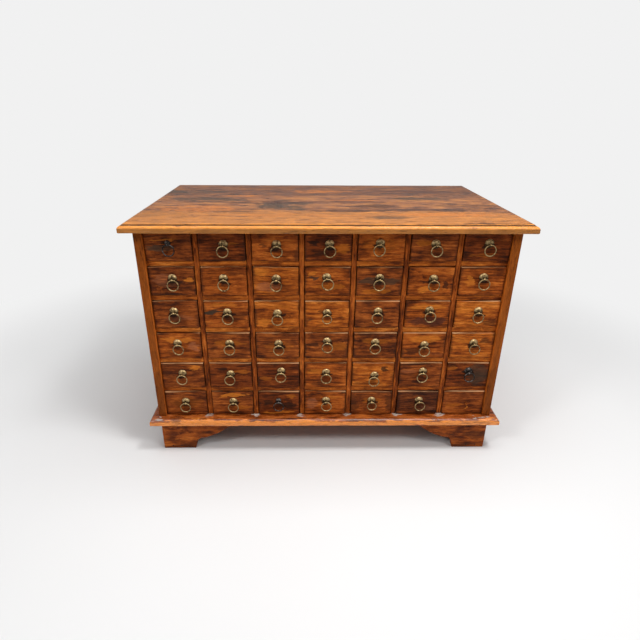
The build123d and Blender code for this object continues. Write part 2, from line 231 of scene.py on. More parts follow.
# ---- building materials ------------------------------------------------------------------
class Recipe:
    """The nodes of one material."""

    def __init__(self, name):
        self.material = bpy.data.materials.new(name)
        self.material.use_nodes = True
        self.tree = self.material.node_tree
        self.tree.nodes.clear()

    def add(self, kind, inputs, output=0, **settings):
        """Adds a node and returns one of its outputs. An input is a value or another output."""
        node = self.tree.nodes.new(kind)
        for key, value in settings.items():
            setattr(node, key, value)
        for key, value in inputs.items():
            if isinstance(value, bpy.types.NodeSocket):
                self.tree.links.new(value, node.inputs[key])
            else:
                node.inputs[key].default_value = value
        return node.outputs[output] if len(node.outputs) else node

    def place(self):
        return self.add("ShaderNodeTexCoord", {}, "Object")

    def vector(self, operation, first, second):
        return self.add("ShaderNodeVectorMath", {0: first, 1: second}, operation=operation)

    def number(self, operation, *values):
        return self.add("ShaderNodeMath", dict(enumerate(values)), operation=operation)

    def stretched_noise(self, vector, scale, detail=2.0, output="Fac", roughness=0.5):
        spread = self.add("ShaderNodeMapping", {"Vector": vector, "Scale": scale})
        inputs = {"Vector": spread, "Scale": 1.0, "Detail": detail, "Roughness": roughness}
        return self.add("ShaderNodeTexNoise", inputs, output)

    def spread(self, value, low, high, out_low=0.0, out_high=1.0, smooth=False):
        inputs = {0: value, 1: low, 2: high, 3: out_low, 4: out_high}
        kind = "SMOOTHSTEP" if smooth else "LINEAR"
        return self.add("ShaderNodeMapRange", inputs, interpolation_type=kind)

    def mix(self, factor, first, second, blend="MIX"):
        inputs = {0: factor, 6: first, 7: second}
        return self.add("ShaderNodeMix", inputs, 2, data_type="RGBA", blend_type=blend)

    def ramp(self, factor, stops):
        output = self.add("ShaderNodeValToRGB", {0: factor})
        elements = output.node.color_ramp.elements
        while len(elements) < len(stops):
            elements.new(0.5)
        for element, (position, colour) in zip(elements, stops):
            element.position = position
            element.color = (*colour, 1.0)
        return output

    def grey(self, value):
        return self.add("ShaderNodeCombineXYZ", {0: value, 1: value, 2: value})

    def wobble(self, vector, scale):
        """Noise about zero, with a number of its own for each axis."""
        noise = self.stretched_noise(vector, scale, 3.0, "Color")
        return self.vector("SUBTRACT", noise, (0.5, 0.5, 0.5))

    def nudged(self, vector, wobble, reach):
        return self.vector("ADD", vector, self.vector("MULTIPLY", wobble, reach))

    def darkened(self, colour, value):
        return self.mix(1.0, colour, self.grey(value), "MULTIPLY")

    def finish(self, colour, roughness, height, bump_depth, **shader_values):
        inputs = {"Height": height, "Strength": 1.0, "Distance": bump_depth}
        normal = self.add("ShaderNodeBump", inputs)
        shader_inputs = {"Base Color": colour, "Roughness": roughness, "Normal": normal}
        shader_inputs.update(shader_values)
        shader = self.add("ShaderNodeBsdfPrincipled", shader_inputs)
        self.add("ShaderNodeOutputMaterial", {"Surface": shader})
        return self.material


# Each pattern's scale along and across the grain, its detail and its roughness.
WOOD_PATTERNS = {
    "streaks": ((7, 120, 120), 4.0, 0.62),
    "patches": ((17, 42, 42), 5.0, 0.62),
    "fibres": ((38, 900, 900), 2.0, 0.5),
    "pores": ((95, 1500, 1500), 1.0, 0.5),
    "flecks": ((26, 190, 190), 4.0, 0.7),
}
# How much each pattern says in the wood's tone, and the tones at which its five colours lie.
TONE_SHARES = {"streaks": 0.50, "patches": 1.05, "fibres": 0.18, "flecks": 0.50}
RING_SHARE = 0.14
TONE_RANGE = (0.88, 1.50)
TONE_STOPS = (0.10, 0.31, 0.50, 0.68, 0.88)
PLANK_CONTRAST = 0.16         # between the tones of planks glued side by side
PLANK_JUMP = (1.93, 0.013)    # along and through the grain, from one plank to the next
WAVE_GAP = 0.314              # between the rings of a wave texture whose scale is 1
# Scales of the noises that bend the grain, tear the marks and lay the dirt, and how far they reach.
WARP_SCALE = (6, 18, 18)
WARP_REACH = (0.02, 0.022, 0.022)
MARK_REACH = (0.034, 0.034, 0.026)
TEAR_SCALE = (36, 120, 120)
TEAR_REACH = (0.05, 0.05, 0.02)
DIRT_SCALE = (11, 75, 75)
DIRT_SHIFT = (3.1, 1.7, 0.4)
# How far each seed moves the patterns along each axis, and after how much they start again.
SEED_STEPS = ((0.731, 7.0), (1.37, 5.0), (0.517, 3.0))
WOOD_RELIEF = 0.0006
# Painted shade along the edges of each drawer front, and a pale upper edge that is partly a painted
# highlight.
RIM_SHADE = (0.030, 0.011, 0.006)
# From an edge, where each starts to change and where it ends, and how far the flecks roughen it.
RIM_SHADE_BETWEEN, RIM_SHADE_ROUGHNESS = (0.006, 0.0145), 0.018
RUBBED_LIT_BETWEEN, RUBBED_LIT_ROUGHNESS = (0.0014, 0.0032), 0.0022
GROOVE_BETWEEN, GROOVE_ROUGHNESS = (0.0016, 0.0036), 0.0016
SEAM_BETWEEN = (0.0002, 0.0012)


class Wood(Recipe):
    """Varnished wood whose growth rings, streaks and pores run along one axis."""

    def __init__(self, name, grain, middle, seed, joints):
        super().__init__(name)
        self.joints = joints
        self.spot = self.place()
        self.local = self.vector("SUBTRACT", self.spot, middle)
        self.along = self.add("ShaderNodeMapping", {"Vector": self.local, "Rotation": GRAIN_TURNS[grain]})
        if joints:
            self.split_into_planks(*joints)
        self.loose = self.vector("ADD", self.along, tuple(seed * step % span for step, span in SEED_STEPS))
        self.warp = self.wobble(self.loose, WARP_SCALE)
        self.shaky = self.nudged(self.local, self.warp, MARK_REACH)
        self.patterns = {
            pattern: self.stretched_noise(self.loose, scale, detail, roughness=roughness)
            for pattern, (scale, detail, roughness) in WOOD_PATTERNS.items()
        }
        self.flecks = self.patterns["flecks"]

    def split_into_planks(self, axis, width, start):
        """Numbers the glued planks and gives each its own stretch of grain."""
        across = self.add("ShaderNodeSeparateXYZ", {0: self.spot}, axis)
        self.planks = self.number("DIVIDE", self.number("SUBTRACT", across, start), width)
        self.plank_number = self.number("FLOOR", self.planks)
        along, through = (self.number("MULTIPLY", self.plank_number, jump) for jump in PLANK_JUMP)
        self.along = self.vector("ADD", self.along, self.add("ShaderNodeCombineXYZ", {0: along, 2: through}))

    def growth_rings(self, log, tilt, ring_gap):
        warped = self.nudged(self.along, self.warp, WARP_REACH)
        inputs = {"Vector": warped, "Location": (0, *log), "Rotation": (0, *tilt)}
        heart = self.add("ShaderNodeMapping", inputs)
        inputs = {"Vector": heart, "Scale": WAVE_GAP / ring_gap, "Distortion": 2.4, "Detail": 3.0,
                  "Detail Scale": 1.6, "Detail Roughness": 0.6}
        return self.add("ShaderNodeTexWave", inputs, 1, wave_type="RINGS", rings_direction="X",
                        wave_profile="SAW")

    def toned(self, rings, colours):
        tone = self.number("MULTIPLY", rings, RING_SHARE)
        for pattern, share in TONE_SHARES.items():
            tone = self.number("MULTIPLY_ADD", self.patterns[pattern], share, tone)
        if self.joints:
            odd = self.add("ShaderNodeTexWhiteNoise", {"W": self.plank_number}, 0, noise_dimensions="1D")
            tone = self.number("SUBTRACT", tone, PLANK_CONTRAST / 2)
            tone = self.number("MULTIPLY_ADD", odd, PLANK_CONTRAST, tone)
        return self.ramp(self.spread(tone, *TONE_RANGE), list(zip(TONE_STOPS, colours)))

    def marked(self, colour, marks):
        """Paints patches into the colour, each an ellipsoid with edges torn along the grain."""
        torn_place = self.nudged(self.shaky, self.wobble(self.loose, TEAR_SCALE), TEAR_REACH)
        ragged = self.spread(self.flecks, 0.25, 0.75, 0.15, 1.75)
        for middle, radii, paint, strength, *tilt in marks:
            turn = tilt[0] if tilt else (0, 0, 0)
            inputs = {"Vector": torn_place, "Location": middle, "Rotation": turn, "Scale": radii}
            inside = self.add("ShaderNodeMapping", inputs, vector_type="TEXTURE")
            ball = self.add("ShaderNodeTexGradient", {0: inside}, 1, gradient_type="SPHERICAL")
            torn = self.number("MULTIPLY", ball, ragged)
            soft = self.spread(torn, 0.08, 0.32, 0.0, strength, smooth=True)
            colour = self.mix(soft, colour, (*paint, 1.0))
        return colour

    def soiled(self, colour, soot):
        place = self.vector("ADD", self.loose, DIRT_SHIFT)
        dirt = self.stretched_noise(place, DIRT_SCALE, 4.0, roughness=0.68)
        return self.mix(self.spread(dirt, 0.58, 0.70, 0.0, soot, smooth=True), colour, (*UMBER, 1.0))

    def seams(self):
        """One on the planks and zero in the seams between them."""
        inside = self.number("FRACT", self.planks)
        edge = self.number("MULTIPLY", self.number("PINGPONG", inside, 0.5), self.joints[1])
        return self.spread(edge, *SEAM_BETWEEN, smooth=True)

    def from_edge(self, half_size, axes, axis):
        """How far in from the two edges across one axis."""
        return self.number("SUBTRACT", half_size, self.number("ABSOLUTE", axes.outputs[axis]))

    def shaded_rim(self, colour, rim):
        """Painted shade along a front's four edges, and a pale band along its upper one: rubbed bare wood
        with a painted highlight.
        """
        half_width, half_height = rim
        axes = self.add("ShaderNodeSeparateXYZ", {0: self.shaky}, 0).node
        side, level = self.from_edge(half_width, axes, 0), self.from_edge(half_height, axes, 2)
        near = self.number("MINIMUM", side, level)
        near = self.number("MULTIPLY_ADD", self.flecks, RIM_SHADE_ROUGHNESS, near)
        # painted shade, darkest at the front's edges
        painted_shade = self.spread(near, *RIM_SHADE_BETWEEN, 0.60, 0.0, smooth=True)
        colour = self.mix(painted_shade, colour, (*RIM_SHADE, 1.0))
        # pale upper edge: rubbed bare wood and a painted highlight
        height = self.add("ShaderNodeSeparateXYZ", {0: self.local}, 2)
        edge = self.number("SUBTRACT", half_height, height)
        edge = self.number("MULTIPLY_ADD", self.flecks, RUBBED_LIT_ROUGHNESS, edge)
        rubbed_and_lit = self.spread(edge, *RUBBED_LIT_BETWEEN, 1.0, 0.0, smooth=True)
        patchy = self.spread(self.patterns["streaks"], 0.42, 0.62, 0.0, 0.8, smooth=True)
        return self.mix(self.number("MULTIPLY", rubbed_and_lit, patchy), colour, (*RUBBED_AND_LIT, 1.0))

    def dark_groove(self, colour, groove):
        """Painted shade in the groove along the sides and the front of the top."""
        half_width, front = groove
        axes = self.add("ShaderNodeSeparateXYZ", {0: self.spot}, 0).node
        behind = self.number("SUBTRACT", axes.outputs[1], front)
        near = self.number("ABSOLUTE", self.number("MINIMUM", self.from_edge(half_width, axes, 0), behind))
        near = self.number("MULTIPLY_ADD", self.flecks, GROOVE_ROUGHNESS, near)
        # painted shade in the groove
        groove_shade = self.spread(near, *GROOVE_BETWEEN, 0.9, 0.0, smooth=True)
        return self.mix(groove_shade, colour, (*SOOT_AND_SHADE, 1.0))


def wood_look(name, colours, grain="x", middle=(0, 0, 0), log=(0.02, -0.06), tilt=(0.0, 0.03), seed=0,
              ring_gap=0.008, marks=(), joints=None, rim=None, groove=None, gloss=(0.34, 0.52),
              specular=0.05, soot=0.6):
    """The look of one board, or of like boards.

    middle is the middle of the board, log the heart of its tree from there, and marks are
    (middle, radii, colour, strength) with a tilt where one is turned. joints is (axis, width, start)
    of glued planks, rim half the width and height of a front with painted shade along its edges,
    and groove half the width and the front of the groove round the top, darkened by painted shade."""
    wood = Wood(name, grain, middle, seed, joints)
    rings = wood.growth_rings(log, tilt, ring_gap)
    fibres = wood.patterns["fibres"]
    colour = wood.toned(rings, WOODS[colours])
    colour = wood.marked(colour, marks)
    colour = wood.soiled(colour, soot)
    pore_dark = wood.spread(wood.patterns["pores"], 0.30, 0.42, 0.55, 1.0)
    grain_dark = wood.spread(fibres, 0.30, 0.60, 0.70, 1.10)
    colour = wood.darkened(colour, wood.number("MULTIPLY", grain_dark, pore_dark))
    height = wood.number("MULTIPLY", rings, 0.35)
    for pattern, share in ((fibres, 0.35), (pore_dark, 0.5), (wood.flecks, 0.5)):
        height = wood.number("MULTIPLY_ADD", pattern, share, height)
    if joints:
        seams = wood.seams()
        colour = wood.darkened(colour, wood.spread(seams, 0.0, 1.0, 0.45, 1.0))
        height = wood.number("MULTIPLY_ADD", seams, 0.8, height)
    if rim:
        colour = wood.shaded_rim(colour, rim)
    if groove:
        colour = wood.dark_groove(colour, groove)
    rough = wood.number("MULTIPLY_ADD", fibres, 0.5, wood.patterns["patches"])
    rough = wood.spread(rough, 0.5, 1.0, *gloss)
    return wood.finish(colour, rough, height, WOOD_RELIEF, **{"Specular IOR Level": specular})


METAL_CLOUD_SCALE = (170, 170, 170)
METAL_GRIT_SCALE = (1100, 1100, 1100)
METAL_RELIEF = 0.0002
UNDERSIDE_SHADE_SHARE = 0.35        # painted shade on the undersides: how much of the tarnish's colour is left there


def metal_look(name, bright, dark, tarnish, rough, metallic=1.0, seed=0.0, shade=0.85):
    """Cast metal, bright where hands rub it and dark in patches, with painted shade on its undersides."""
    recipe = Recipe(name)
    place = recipe.vector("ADD", recipe.place(), (seed, seed * 0.7, 0.0))
    clouds = recipe.stretched_noise(place, METAL_CLOUD_SCALE, 3.0)
    grit = recipe.stretched_noise(place, METAL_GRIT_SCALE, 2.0)
    blend = recipe.number("MULTIPLY_ADD", grit, 0.3, clouds)
    worn = recipe.spread(blend, tarnish - 0.12, tarnish + 0.16, smooth=True)
    colour = recipe.mix(worn, (*dark, 1.0), (*bright, 1.0))
    # painted shade: darker where the surface faces down
    facing = recipe.add("ShaderNodeNewGeometry", {}, "Normal")
    upward = recipe.add("ShaderNodeSeparateXYZ", {0: facing}, 2)
    upward = recipe.number("MULTIPLY_ADD", clouds, 0.5, upward)
    underside_shade = recipe.spread(upward, 0.10, 0.55, shade, 0.0, smooth=True)
    colour = recipe.mix(underside_shade, colour, (*(UNDERSIDE_SHADE_SHARE * part for part in dark), 1.0))
    roughness = recipe.spread(blend, 0.45, 0.85, *rough)
    return recipe.finish(colour, roughness, blend, METAL_RELIEF, Metallic=metallic)


# ---- building meshes -----------------------------------------------------------------------
def only(*pieces):
    """Selects these pieces and nothing else."""
    bpy.ops.object.select_all(action="DESELECT")
    for piece in pieces:
        piece.select_set(True)
    bpy.context.view_layer.objects.active = pieces[0]


def fix_place(piece):
    only(piece)
    bpy.ops.object.transform_apply(location=True, rotation=True, scale=True)
    return piece


def board(name, low, high, cuts=0):
    """A board between two corners, with its place in its mesh."""
    low, high = Vector(low), Vector(high)
    bpy.ops.object.select_all(action="DESELECT")
    bpy.ops.mesh.primitive_cube_add(size=1, location=(low + high) / 2)
    piece = bpy.context.active_object
    piece.name = name
    piece.scale = high - low
    fix_place(piece)
    if cuts:
        bpy.ops.object.mode_set(mode="EDIT")
        bpy.ops.mesh.select_all(action="SELECT")
        bpy.ops.mesh.subdivide(number_cuts=cuts)
        bpy.ops.object.mode_set(mode="OBJECT")
    return piece


def joined(name, pieces):
    """Joins pieces that belong together into one mesh."""
    only(*pieces)
    if len(pieces) > 1:
        bpy.ops.object.join()
    pieces[0].name = name
    return pieces[0]


def use_modifier(piece, kind, **settings):
    only(piece)
    modifier = piece.modifiers.new(kind.lower(), kind)
    for key, value in settings.items():
        setattr(modifier, key, value)
    bpy.ops.object.modifier_apply(modifier=modifier.name)


def ease_edges(piece, width, segments=2):
    """Rounds the sharp edges, as sanding and years of use do."""
    use_modifier(piece, "BEVEL", width=width, segments=segments, limit_method="ANGLE",
                 angle_limit=math.radians(30), harden_normals=False)


def wear(piece, depth, size):
    """Sinks the surface unevenly, never outwards."""
    clouds = bpy.data.textures.new(f"{piece.name}_wear", "CLOUDS")
    clouds.noise_scale = size
    use_modifier(piece, "DISPLACE", texture=clouds, texture_coords="LOCAL", strength=depth, mid_level=1.0)


def smooth(piece, degrees=35):
    only(piece)
    bpy.ops.object.shade_smooth_by_angle(angle=math.radians(degrees))


def dress(piece, settings, rounding=1.0, wearing=1.0, wear_size=0.03):
    """Eases, wears and smooths a wooden piece, by shares of what the settings say."""
    ease_edges(piece, settings.edge_round * rounding)
    if wearing:
        wear(piece, settings.wear_depth * wearing, wear_size)
    smooth(piece)


def copy_of(piece, name):
    twin = piece.copy()
    twin.data = piece.data.copy()
    twin.name = name
    bpy.context.scene.collection.objects.link(twin)
    return twin


def merged_copy(node, name):
    """A copy of a CAD node's mesh, with its loose triangles merged into whole faces."""
    piece = copy_of(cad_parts[node], name)
    for key in list(piece.keys()):
        del piece[key]
    piece.parent = None
    piece.data.materials.clear()
    only(piece)
    if piece.data.has_custom_normals:
        bpy.ops.mesh.customdata_custom_splitnormals_clear()
    bpy.ops.object.mode_set(mode="EDIT")
    bpy.ops.mesh.select_all(action="SELECT")
    bpy.ops.mesh.remove_doubles(threshold=1e-5)
    bpy.ops.mesh.dissolve_limited(angle_limit=math.radians(1))
    bpy.ops.object.mode_set(mode="OBJECT")
    return piece


def slice_across(piece, axis, count):
    """Cuts a piece into even slices, so that its long edges can be worn."""
    low = min(vertex.co[axis] for vertex in piece.data.vertices)
    high = max(vertex.co[axis] for vertex in piece.data.vertices)
    normal = [0.0, 0.0, 0.0]
    normal[axis] = 1.0
    only(piece)
    bpy.ops.object.mode_set(mode="EDIT")
    for number in range(1, count):
        spot = [0.0, 0.0, 0.0]
        spot[axis] = low + (high - low) * number / count
        bpy.ops.mesh.select_all(action="SELECT")
        bpy.ops.mesh.bisect(plane_co=spot, plane_no=normal)
    bpy.ops.object.mode_set(mode="OBJECT")


def hand_over(piece, body, slot, material, *nodes):
    """Gives a finished piece its material and its body, and hides the CAD nodes that it stands for."""
    piece.data.materials.clear()
    piece.data.materials.append(material)
    if nodes:
        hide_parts(*nodes)
    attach(piece, body)


# ---- what a user may change -------------------------------------------------------------------
class CabinetWoodwork(bpy.types.PropertyGroup):
    """Edges and surface of the wood."""

    edge_round: bpy.props.FloatProperty(
        name="Edge rounding", description="Radius of the boards' worn edges",
        default=0.0012, unit="LENGTH")
    front_round: bpy.props.FloatProperty(
        name="Front rounding", description="Radius of the drawer fronts' edges",
        default=0.0018, unit="LENGTH")
    wear_depth: bpy.props.FloatProperty(
        name="Wear", description="Depth of the unevenness of the surfaces",
        default=0.0007, unit="LENGTH")
    plank_width: bpy.props.FloatProperty(
        name="Plank width", description="Width of the planks of the top",
        default=0.105, unit="LENGTH")


class CabinetPulls(bpy.types.PropertyGroup):
    """Sizes and colours of the ring pulls."""

    rosette_radius: bpy.props.FloatProperty(
        name="Rosette radius", description="Radius of the domed cap",
        default=0.0120, unit="LENGTH")
    ring_radius: bpy.props.FloatProperty(
        name="Ring radius", description="Middle of the ring to the middle of its wire",
        default=0.0146, unit="LENGTH")
    wire_radius: bpy.props.FloatProperty(
        name="Wire radius", description="Radius of the ring's wire",
        default=0.0016, unit="LENGTH")
    brass: bpy.props.FloatVectorProperty(
        name="Brass", description="Colour of rubbed brass",
        default=(0.46, 0.32, 0.15), subtype="COLOR")
    tarnish: bpy.props.FloatVectorProperty(
        name="Tarnish", description="Colour of tarnished brass",
        default=(0.085, 0.050, 0.022), subtype="COLOR")


class CabinetStage(bpy.types.PropertyGroup):
    """The room round the cabinet."""

    floor_colour: bpy.props.FloatVectorProperty(
        name="Floor", description="Colour of the floor and the wall behind",
        default=(0.80, 0.80, 0.80), subtype="COLOR")
    key_power: bpy.props.FloatProperty(
        name="Front lights", description="Power of each lamp in front, in watts", default=23.0)
    glint_power: bpy.props.FloatProperty(
        name="Small light", description="Power of the small lamp that glints on the mouldings, in watts",
        default=20.0)
    sky_power: bpy.props.FloatProperty(
        name="Overhead light", description="Power of the lamp overhead, in watts", default=42.0)


# ---- the stage ------------------------------------------------------------------------------
CAMERA_PLACE = (-0.0631, -1.4990, 0.9856)
CAMERA_DOWN = math.radians(24.31)
CAMERA_RIGHT = math.radians(0.74)
CAMERA_ROLL = math.radians(0.28)
CAMERA_LENS = 27.127          # millimetres, for a sensor 36 mm wide
CAMERA_SHIFT = 0.0159
FAR_WHITE = 0.88              # brightness of the background as the camera sees it
WHITE_BETWEEN = (0.75, 1.9)   # how far from the middle the floor turns to that white
SKY_DIFFUSE = 0.24
SKY_MIRRORED = 0.72
FLOOR_SIZE = (16, 10)
WALL_HEIGHT = 7
SWEEP_RADIUS = 2.5            # of the curve between the floor and the wall
# Each lamp's place, what it points at, its size and the setting that holds its power.
LAMPS = {
    "left_lamp": ((-1.9, -1.9, 2.3), (-0.2, -0.3, 0.3), (0.6, 0.6), "key_power"),
    "right_lamp": ((1.9, -1.9, 2.3), (0.2, -0.3, 0.3), (0.6, 0.6), "key_power"),
    "overhead_lamp": ((0.0, -0.3, 3.0), (0.0, -0.2, 0.0), (2.2, 1.6), "sky_power"),
    "glint_lamp": ((0.66, -0.75, 2.3), (0.2, -0.3, 0.7), (0.42, 0.42), "glint_power"),
}


class CABINET_OT_stage(bpy.types.Operator):
    """Adds the floor, the lamps and the camera"""

    bl_idname = "cabinet.stage"
    bl_label = "Stage"

    def execute(self, context):
        settings = context.scene.cabinet_stage
        self.add_floor(settings)
        for name, (place, target, size, power) in LAMPS.items():
            self.add_lamp(name, place, target, size, getattr(settings, power))
        self.add_world(context)
        self.add_camera(context)
        context.scene.view_settings.view_transform = "Standard"
        return {"FINISHED"}

    def add_floor(self, settings):
        """A pale floor that curves up into a pale wall."""
        bpy.ops.object.select_all(action="DESELECT")
        bpy.ops.mesh.primitive_plane_add(size=1, location=(0, 0, 0))
        floor = bpy.context.active_object
        floor.name = "floor"
        floor.scale = (*FLOOR_SIZE, 1)
        fix_place(floor)
        bpy.ops.object.mode_set(mode="EDIT")
        bpy.ops.mesh.select_all(action="DESELECT")
        bpy.ops.object.mode_set(mode="OBJECT")
        for edge in floor.data.edges:
            ends = [floor.data.vertices[index].co.y for index in edge.vertices]
            edge.select = min(ends) > 0.49 * FLOOR_SIZE[1]
        bpy.ops.object.mode_set(mode="EDIT")
        bpy.ops.mesh.select_mode(type="EDGE")
        bpy.ops.mesh.extrude_region_move(TRANSFORM_OT_translate={"value": (0, 0, WALL_HEIGHT)})
        bpy.ops.object.mode_set(mode="OBJECT")
        use_modifier(floor, "BEVEL", width=SWEEP_RADIUS, segments=16, limit_method="ANGLE")
        only(floor)
        bpy.ops.object.shade_smooth()
        floor.data.materials.append(self.floor_look(settings))

    def floor_look(self, settings):
        """Matt paper, and an even white far from the cabinet where the camera sees it."""
        recipe = Recipe("pale_floor")
        place = recipe.place()
        clouds = recipe.stretched_noise(place, (1.5, 1.5, 1.5))
        tint = recipe.spread(clouds, 0.3, 0.7, 0.985, 1.0)
        colour = recipe.darkened((*settings.floor_colour, 1.0), tint)
        paper = recipe.add("ShaderNodeBsdfDiffuse", {"Color": colour})
        distance = recipe.add("ShaderNodeVectorMath", {0: place}, 1, operation="LENGTH")
        away = recipe.spread(distance, *WHITE_BETWEEN, smooth=True)
        seen = recipe.add("ShaderNodeLightPath", {}, "Is Camera Ray")
        share = recipe.number("MULTIPLY", away, seen)
        white = recipe.add("ShaderNodeEmission", {"Color": (1.0, 1.0, 1.0, 1.0), "Strength": FAR_WHITE})
        blend = recipe.add("ShaderNodeMixShader", {0: share, 1: paper, 2: white})
        recipe.add("ShaderNodeOutputMaterial", {"Surface": blend})
        return recipe.material

    def add_lamp(self, name, place, target, size, power):
        bpy.ops.object.light_add(type="AREA", location=place)
        lamp = bpy.context.active_object
        lamp.name = name
        lamp.data.shape = "RECTANGLE"
        lamp.data.size, lamp.data.size_y = size
        lamp.data.energy = power
        lamp.rotation_euler = (Vector(target) - Vector(place)).to_track_quat("-Z", "Y").to_euler()

    def add_world(self, context):
        """Even white light, and a paler white where the camera sees it."""
        world = bpy.data.worlds.new("studio")
        context.scene.world = world
        world.use_nodes = True
        tree = world.node_tree
        tree.nodes.clear()
        rays = tree.nodes.new("ShaderNodeLightPath")
        mirrored = tree.nodes.new("ShaderNodeMapRange")
        mirrored.inputs["To Min"].default_value = SKY_DIFFUSE
        mirrored.inputs["To Max"].default_value = SKY_MIRRORED
        strength = tree.nodes.new("ShaderNodeMapRange")
        strength.inputs["To Max"].default_value = FAR_WHITE
        shine = tree.nodes.new("ShaderNodeBackground")
        shine.inputs["Color"].default_value = (1.0, 1.0, 1.0, 1.0)
        output = tree.nodes.new("ShaderNodeOutputWorld")
        tree.links.new(rays.outputs["Is Glossy Ray"], mirrored.inputs["Value"])
        tree.links.new(mirrored.outputs[0], strength.inputs["To Min"])
        tree.links.new(rays.outputs["Is Camera Ray"], strength.inputs["Value"])
        tree.links.new(strength.outputs[0], shine.inputs["Strength"])
        tree.links.new(shine.outputs[0], output.inputs["Surface"])

    def add_camera(self, context):
        bpy.ops.object.camera_add(location=CAMERA_PLACE)
        camera = bpy.context.active_object
        camera.name = "camera"
        turn = (
            Matrix.Rotation(-CAMERA_RIGHT, 4, "Z")
            @ Matrix.Rotation(math.pi / 2 - CAMERA_DOWN, 4, "X")
            @ Matrix.Rotation(CAMERA_ROLL, 4, "Z")
        )
        camera.rotation_euler = turn.to_euler()
        camera.data.sensor_width = 36.0
        camera.data.lens = CAMERA_LENS
        camera.data.shift_x = CAMERA_SHIFT
        camera.data.clip_start = 0.05
        context.scene.camera = camera


# ---- the top ---------------------------------------------------------------------------------------
QUIRK_BACK = 0.0095           # the groove of the moulding, behind the edge of the top
TOP_SLICES = (44, 24)
PATCH_DEPTH = 0.006
# Patches on the top, in metres: x, y, half length, half width, colour and strength.
TOP_PATCHES = (
    (-0.12, -0.06, 0.11, 0.11, GREY, 0.85), (-0.18, -0.02, 0.16, 0.03, UMBER, 0.6),
    (-0.36, 0.03, 0.16, 0.055, GREY, 0.8), (0.0, -0.01, 0.30, 0.022, PLUM, 0.6),
    (-0.44, 0.175, 0.16, 0.045, GREY, 0.75), (0.30, 0.05, 0.12, 0.045, GREY, 0.8),
    (0.14, -0.075, 0.09, 0.045, UMBER, 0.8), (0.05, -0.14, 0.15, 0.018, UMBER, 0.85),
    (0.165, -0.22, 0.09, 0.032, GREY, 0.7), (0.42, -0.06, 0.14, 0.03, UMBER, 0.5),
    (-0.30, -0.155, 0.16, 0.012, UMBER, 0.6), (0.28, -0.13, 0.18, 0.014, UMBER, 0.6),
    (-0.37, -0.11, 0.16, 0.06, GOLD, 0.6), (-0.26, 0.09, 0.10, 0.03, GOLD, 0.6),
    (0.0, 0.18, 0.14, 0.035, GOLD, 0.6), (0.32, -0.19, 0.20, 0.035, GOLD, 0.6),
    (-0.1, -0.20, 0.35, 0.025, GOLD, 0.35), (0.38, -0.295, 0.05, 0.022, UMBER, 0.8),
    (0.10, 0.02, 0.12, 0.02, AMBER, 0.5), (-0.15, 0.25, 0.30, 0.03, PLUM, 0.35),
    (0.30, 0.18, 0.20, 0.03, PLUM, 0.35),
)


class CABINET_OT_top(bpy.types.Operator):
    """Makes the moulded top of glued planks"""

    bl_idname = "cabinet.top"
    bl_label = "Top"

    def execute(self, context):
        settings = context.scene.cabinet_woodwork
        top = merged_copy("top_board", "top_planks")
        for axis, count in enumerate(TOP_SLICES):
            slice_across(top, axis, count)
        dress(top, settings, wear_size=0.035)
        high = TOP_HIGH.z
        front_glow = ((-0.1, TOP_LOW.y + 0.07, high), (1.1, 0.15, 0.012), BUTTER, 0.42)
        back_shade = ((0.1, 0.24, high), (0.8, 0.15, 0.01), PLUM, 0.35)
        patches = [
            ((x, y, high), (length, width, PATCH_DEPTH), paint, strength)
            for x, y, length, width, paint, strength in TOP_PATCHES
        ]
        # painted highlight: a paler band along the moulded front edge, where the lamps catch it
        nose_highlight = ((0, TOP_LOW.y, high - 0.011), (1.5, 0.026, 0.022), BUTTER, 0.85)
        look = wood_look(
            "varnished_top", "top", seed=3, log=(0.10, -0.07), ring_gap=0.013,
            marks=[front_glow, back_shade, *patches, nose_highlight],
            joints=(1, settings.plank_width, TOP_LOW.y), gloss=(0.24, 0.40), specular=0.38, soot=0.8,
            groove=(TOP_HIGH.x - QUIRK_BACK, TOP_LOW.y + QUIRK_BACK))
        hand_over(top, CARCASS, "top_wood", look, "top_board")
        return {"FINISHED"}


# ---- the base board and the feet -----------------------------------------------------------------
BASE_SLICES = (48, 16)
DUST_RADII = (0.016, 0.009, 0.006)
# Smears of dust on the base board, in front of the drawers: x and half length.
DUST_SMEARS = ((0.470, 0.014), (0.452, 0.008), (-0.492, 0.012), (0.495, 0.012))
FOOT_MIDDLE = (0, 0, 0.05)
FOOT_SLICES = 6
NAIL_ROUND = 0.0005
NAIL_WEAR = (0.0006, 0.002)   # depth and size


